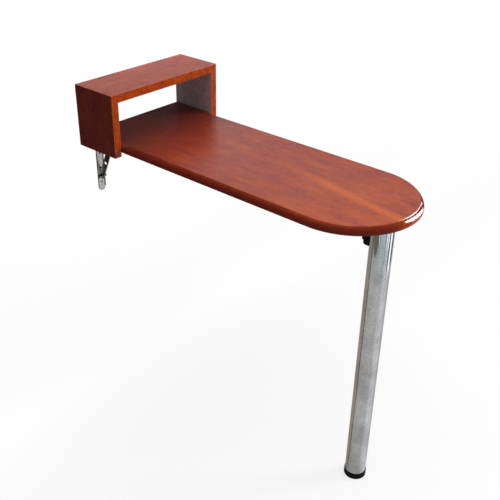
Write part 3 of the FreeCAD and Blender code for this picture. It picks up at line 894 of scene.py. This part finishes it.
# %% [markdown]
# ## The world
# The table stands before plain white. A white world would light it from all sides and leave no shape, so
# the world is white only where the eye or a reflection meets it, and dim for the light that it sends.
# The Light Path node tells these rays apart.

# %% Seen or reflected
def seen_glow(tree, seen, mirrored):
    """One strength for a ray from the camera, and another for a ray from a mirror or through glass."""
    path = tree.nodes.new("ShaderNodeLightPath").outputs
    other = sums(tree, "ADD", path["Is Glossy Ray"], path["Is Transmission Ray"], clamp=True)
    return sums(tree, "ADD", times(tree, path["Is Camera Ray"], seen), times(tree, other, mirrored))


# %% World
world_light = 0.14
world = bpy.data.worlds.new("studio")
scene.world = world
world.use_nodes = True
sky_tree = world.node_tree
sky = sky_tree.nodes["Background"]
whiteness = seen_glow(sky_tree, 1.0 - world_light, 1.0 - world_light)
strength = sums(sky_tree, "ADD", whiteness, world_light)
feed(sky_tree, sky, Color=(1.0, 1.0, 1.0, 1.0), Strength=strength)
scene.view_settings.view_transform = "Standard"
print("world light", world_light)

# %% [markdown]
# ## Stage sheets
# The floor and everything that shows only in reflections are thin sheets. A sheet is plain light, or a
# matt colour that shows only on its front. The back of such a sheet is clear, so the table can also be
# looked at from below or from behind.

# %% Sheets
def sheet(name, corners, material, faces=None):
    """Thin stage piece. Without faces, its corners are the outline of one flat face."""
    mesh = bpy.data.meshes.new(name)
    mesh.from_pydata([tuple(corner) for corner in corners], [], faces or [range(len(corners))])
    mesh.materials.append(material)
    piece = bpy.data.objects.new(name, mesh)
    scene.collection.objects.link(piece)
    return piece


def start_stage(name):
    """New material without any nodes. Gives it and its tree."""
    material = bpy.data.materials.new(name)
    material.use_nodes = True
    material.node_tree.nodes.clear()
    return material, material.node_tree


def glowing(name, colour, strength=1.0):
    """Plain light of one colour."""
    material, tree = start_stage(name)
    lamp = add(tree, "ShaderNodeEmission", {"Color": (*colour, 1.0), "Strength": strength})
    add(tree, "ShaderNodeOutputMaterial", {"Surface": lamp.outputs[0]})
    return material


def front_only(name, colour, seen=0.0, mirrored=0.0):
    """Matt colour from the front, with a glow where it is seen or mirrored, and nothing from behind."""
    material, tree = start_stage(name)
    matt = add(tree, "ShaderNodeBsdfDiffuse", {"Color": (*colour, 1.0)})
    glow = add(tree, "ShaderNodeEmission", {"Strength": seen_glow(tree, seen, mirrored)})
    front = add(tree, "ShaderNodeAddShader", {0: matt.outputs[0], 1: glow.outputs[0]})
    clear = add(tree, "ShaderNodeBsdfTransparent")
    behind = tree.nodes.new("ShaderNodeNewGeometry").outputs["Backfacing"]
    shown = add(tree, "ShaderNodeMixShader", {0: behind, 1: front.outputs[0], 2: clear.outputs[0]})
    add(tree, "ShaderNodeOutputMaterial", {"Surface": shown.outputs[0]})
    return material


# %% [markdown]
# ## The floor
# The floor is so pale that it can't be told from the background, but it keeps the soft shadow of the
# table. A matt grey takes the shadow, and a glow that only the eye and mirrors meet lifts it to white
# without lighting the underside of the leaf.

# %% Floor
floor_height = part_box("foot_pad")[0].z
floor_half = 14.0
pale_floor = front_only("pale_floor", (0.28, 0.28, 0.28), seen=0.76, mirrored=0.30)
floor_signs = ((-1, -1), (1, -1), (1, 1), (-1, 1))
floor_corners = [(x * floor_half, y * floor_half, floor_height) for x, y in floor_signs]
sheet("floor", floor_corners, pale_floor)
print("floor at", round(floor_height, 4))

# %% [markdown]
# ## Shade of the wall
# No wall shows behind the table. What shows is its shade: the left side of the box and the
# rims of the leaf mirror a dark wall, while the flat of the leaf mirrors a bright part of it. Dim sheets
# stand where that wall would be, and leave the bright part open. The camera looks through them. Only the
# one in the box casts a shadow, because a real wall lets no light into the box from behind.

# %% Wall shade
wall_y = 0.015
wall_reach, wall_top, wall_foot = 2.4, 2.2, -0.30
bright_x, bright_z = 0.9, 1.15
right_near_z, right_far_z = 0.10, 0.95
wall_shade = glowing("wall_shade", (0.030, 0.024, 0.021))
wall_dim = glowing("wall_dim", (0.12, 0.112, 0.116))
panel_low, panel_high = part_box("box_right_panel")
box_half, box_foot, box_head = panel_high.x, panel_low.z, panel_high.z


def wall_sheet(name, outline, light, casts_shadow=False):
    """Dim sheet on the wall, with its outline in X and Z."""
    piece = sheet(name, [(x, wall_y, z) for x, z in outline], light)
    piece.visible_camera = False
    piece.visible_shadow = casts_shadow
    print(name, "with", len(outline), "corners")


wall_sheet("wall_left", [(-wall_reach, wall_foot), (box_half, wall_foot), (box_half, box_foot),
                         (-box_half, box_foot), (-box_half, box_head), (bright_x, bright_z),
                         (bright_x, wall_top), (-wall_reach, wall_top)], wall_shade)
wall_sheet("wall_right", [(box_half, wall_foot), (wall_reach, wall_foot), (wall_reach, right_far_z),
                          (box_half, right_near_z)], wall_shade)
wall_sheet("wall_in_box", [(-box_half, box_foot), (box_half, box_foot), (box_half, box_head),
                           (-box_half, box_head)], wall_dim, True)

# %% [markdown]
# ## Mirrored windows
# The rest of the room shows only in polished surfaces, so it is made of sheets that only a reflection
# meets. The varnished rim at the end of the leaf mirrors two slanting bright panes in a dark room. A
# point of a pane is given as the rim sees it, by its bearing and its height in degrees.

# %% Directions
def mirrored_only(piece):
    for ray in ("camera", "diffuse", "shadow", "transmission", "volume_scatter"):
        setattr(piece, "visible_" + ray, False)


def bearing(degrees, lift=0.0):
    """Direction at an angle from +X towards the wall, and at an angle above the level."""
    turn, tilt = radians(degrees), radians(lift)
    return Vector((cos(turn) * cos(tilt), sin(turn) * cos(tilt), sin(tilt)))


leaf_low, leaf_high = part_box("leaf_board")
tip_aside, tip_in, tip_down = 0.02, 0.01, 0.005
leaf_tip = Vector((tip_aside, leaf_low.y + tip_in, leaf_high.z - tip_down))


def mirrored_band(name, rows, distance, light):
    """Sheet along rows of a bearing, a low and a high angle."""
    points = [leaf_tip + bearing(turn, lift) * distance for turn, low, high in rows for lift in (low, high)]
    faces = [(2 * row, 2 * row + 2, 2 * row + 3, 2 * row + 1) for row in range(len(rows) - 1)]
    mirrored_only(sheet(name, points, light, faces))
    print(name, "from", rows[0][0], "to", rows[-1][0], "degrees")


# %% [markdown]
# The panes are far brighter than a real window, because varnish mirrors only a small share. They grow
# dimmer along their length, and fade with the length of the mirrored ray, so that pieces farther away,
# such as the brackets, don't burn out.

# %% Window panes
pane_distance = 1.9
pane_fade = (2.05, 2.15)
pane_far_share = 0.03
panes = (
    ("upper_pane_near", 14.0, ((-51, 40, 60), (-42, 36, 56), (-36, 31, 52), (-26, 23, 46), (-18, 17, 40))),
    ("upper_pane_middle", 7.0, ((-18, 17, 40), (-8, 8, 28))),
    ("upper_pane_far", 2.5, ((-8, 8, 28), (2, -3, 14))),
    ("lower_pane_near", 14.0, ((-54, 10, 23), (-46, 1, 20), (-38, -5, 14), (-28, -9, 7), (-20, -12, 3))),
    ("lower_pane_middle", 7.0, ((-20, -12, 3), (-10, -16, -5))),
    ("lower_pane_far", 2.5, ((-10, -16, -5), (0, -20, -12))),
)


def pane_light(name, strength):
    """White light for mirrored rays up to a length, and little beyond it."""
    material = glowing(name, (1.0, 1.0, 1.0))
    tree = material.node_tree
    length = tree.nodes.new("ShaderNodeLightPath").outputs["Ray Length"]
    fading = spread(tree, length, *pane_fade, strength, strength * pane_far_share)
    feed(tree, tree.nodes["Emission"], Strength=fading)
    return material


for name, strength, rows in panes:
    mirrored_band(name, rows, pane_distance, pane_light(name, strength))

# %% Dark room
room_distance = 2.2
dark_bearings = range(-224, 19, 22)
dark_heights = ((-26, 4), (4, 34), (34, 64), (64, 88))
room_dark = glowing("room_dark", (0.02, 0.024, 0.04))
for low, high in dark_heights:
    mirrored_band("dark_room", [(turn, low, high) for turn in dark_bearings], room_distance, room_dark)

# %% [markdown]
# ## The room in the leg
# Seen from above, an upright chromed leg mirrors the floor around its foot, and near its top also what
# stands on that floor. Wedges on the floor give the leg its brown side, the dark line where its own
# shadow lies, and its bright side in steps.

# %% Mirrored floor
above_floor = 0.003
wedge_reach = 1.7
wedge_steps = 8
leg_low, leg_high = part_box("leg_tube")
leg_foot = Vector((0.0, (leg_low.y + leg_high.y) / 2.0, floor_height + above_floor))
wedges = (("mirrored_wall_side", 30, 124, (0.36, 0.325, 0.285)),
          ("mirrored_shadow", 124, 131, (0.07, 0.045, 0.035)),
          ("mirrored_window_edge", 238, 246, (0.52, 0.53, 0.54)),
          ("mirrored_window_near", 246, 256, (0.58, 0.59, 0.61)),
          ("mirrored_window_half", 256, 268, (0.64, 0.66, 0.70)),
          ("mirrored_window_side", 268, 322, (0.72, 0.74, 0.79)),
          ("mirrored_window_end", 322, 336, (0.58, 0.59, 0.61)))
for name, start, stop, colour in wedges:
    turns = [start + (stop - start) * step / wedge_steps for step in range(wedge_steps + 1)]
    rim = [leg_foot + bearing(turn) * wedge_reach for turn in turns]
    mirrored_only(sheet(name, [leg_foot] + rim, glowing(name, colour)))
    print(name, "from", start, "to", stop, "degrees")

# %% [markdown]
# Upright strips give the white, blue and dim lines at the top of the leg. The higher a strip starts
# above the floor, the shorter is its line below the leaf.

# %% Mirrored strips
strip_high = 0.40
strip_distance, faint_distance = 1.0, 1.15
strip_white = glowing("strip_white", (1.0, 1.0, 1.0), 1.7)
strip_blue = glowing("strip_blue", (0.05, 0.08, 0.15))
strip_pale = glowing("strip_pale", (0.58, 0.70, 0.76))
strip_faint = glowing("strip_faint", (0.47, 0.55, 0.58))
strip_dim = glowing("strip_dim", (0.20, 0.195, 0.18))
near_strips = ((133, 185, 0.25, strip_dim), (186, 191, 0.26, strip_white),
               (192, 198, 0.26, strip_blue), (199, 246, 0.20, strip_pale),
               (247, 253, 0.25, strip_blue), (257, 265, 0.23, strip_white),
               (268, 273, 0.24, strip_blue), (276, 284, 0.23, strip_white),
               (286, 296, 0.13, strip_blue), (303, 318, 0.13, strip_white),
               (324, 342, 0.16, strip_blue))
faint_strips = ((196, 225, 0.02, strip_faint), (225, 254, 0.02, strip_faint))


def mirrored_strip(start, stop, low, light, distance):
    """Upright strip between two bearings, from a height above the floor."""
    near, far = (leg_foot + bearing(degrees) * distance for degrees in (start, stop))
    foot_at, head_at = Vector((0.0, 0.0, low)), Vector((0.0, 0.0, strip_high))
    corners = [near + foot_at, far + foot_at, far + head_at, near + head_at]
    mirrored_only(sheet("mirrored_strip", corners, light))


for strips, distance in ((near_strips, strip_distance), (faint_strips, faint_distance)):
    for strip in strips:
        mirrored_strip(*strip, distance)
    print(len(strips), "strips at", distance, "m")

# %% [markdown]
# ## Painted shade behind the screw holes
# The screw holes of the brackets look dark. A near-black sheet stands behind each bracket as painted
# shade, and shows only from the front.

# %% Painted hole shade
hole_shade_y = 0.0004
hole_shade_side, hole_shade_end = 0.004, 0.012
# Near-black painted shade, seen through the screw holes.
painted_hole_shade = front_only("painted_hole_shade", (0.012, 0.010, 0.009))
for side in ("left", "right"):
    low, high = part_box(side + "_bracket_angle")
    left_x, right_x = low.x + hole_shade_side, high.x - hole_shade_side
    foot_z, head_z = low.z + hole_shade_end, high.z - hole_shade_end
    outline = ((left_x, foot_z), (right_x, foot_z), (right_x, head_z), (left_x, head_z))
    sheet(side + "_hole_shade_sheet", [(x, hole_shade_y, z) for x, z in outline], painted_hole_shade)
    print(side, "backing from", round(left_x, 4), "to", round(right_x, 4))

# %% [markdown]
# ## Lamps
# A large soft lamp overhead lights the tops, and a lower one from the front right lights the front edges
# and leaves the left side in shade. Area lamps would fall off along the leaf, so both are suns, and the
# angle of a sun sets how soft its shadows are.

# %% Lamps
def soft_sun(name, strength, spread_degrees, towards):
    """Sun lamp that stands in a direction, as wide in the sky as its spread."""
    lamp = bpy.data.lights.new(name, "SUN")
    lamp.energy = strength
    lamp.angle = radians(spread_degrees)
    piece = bpy.data.objects.new(name, lamp)
    piece.rotation_mode = "QUATERNION"
    piece.rotation_quaternion = Vector(towards).to_track_quat("Z", "Y")
    scene.collection.objects.link(piece)
    print(name, strength, "over", spread_degrees, "degrees")


soft_sun("overhead_light", strength=1.9, spread_degrees=75.0, towards=(0.0, 0.0, 1.0))
soft_sun("front_light", strength=1.5, spread_degrees=20.0, towards=(0.80, -0.60, 0.34))
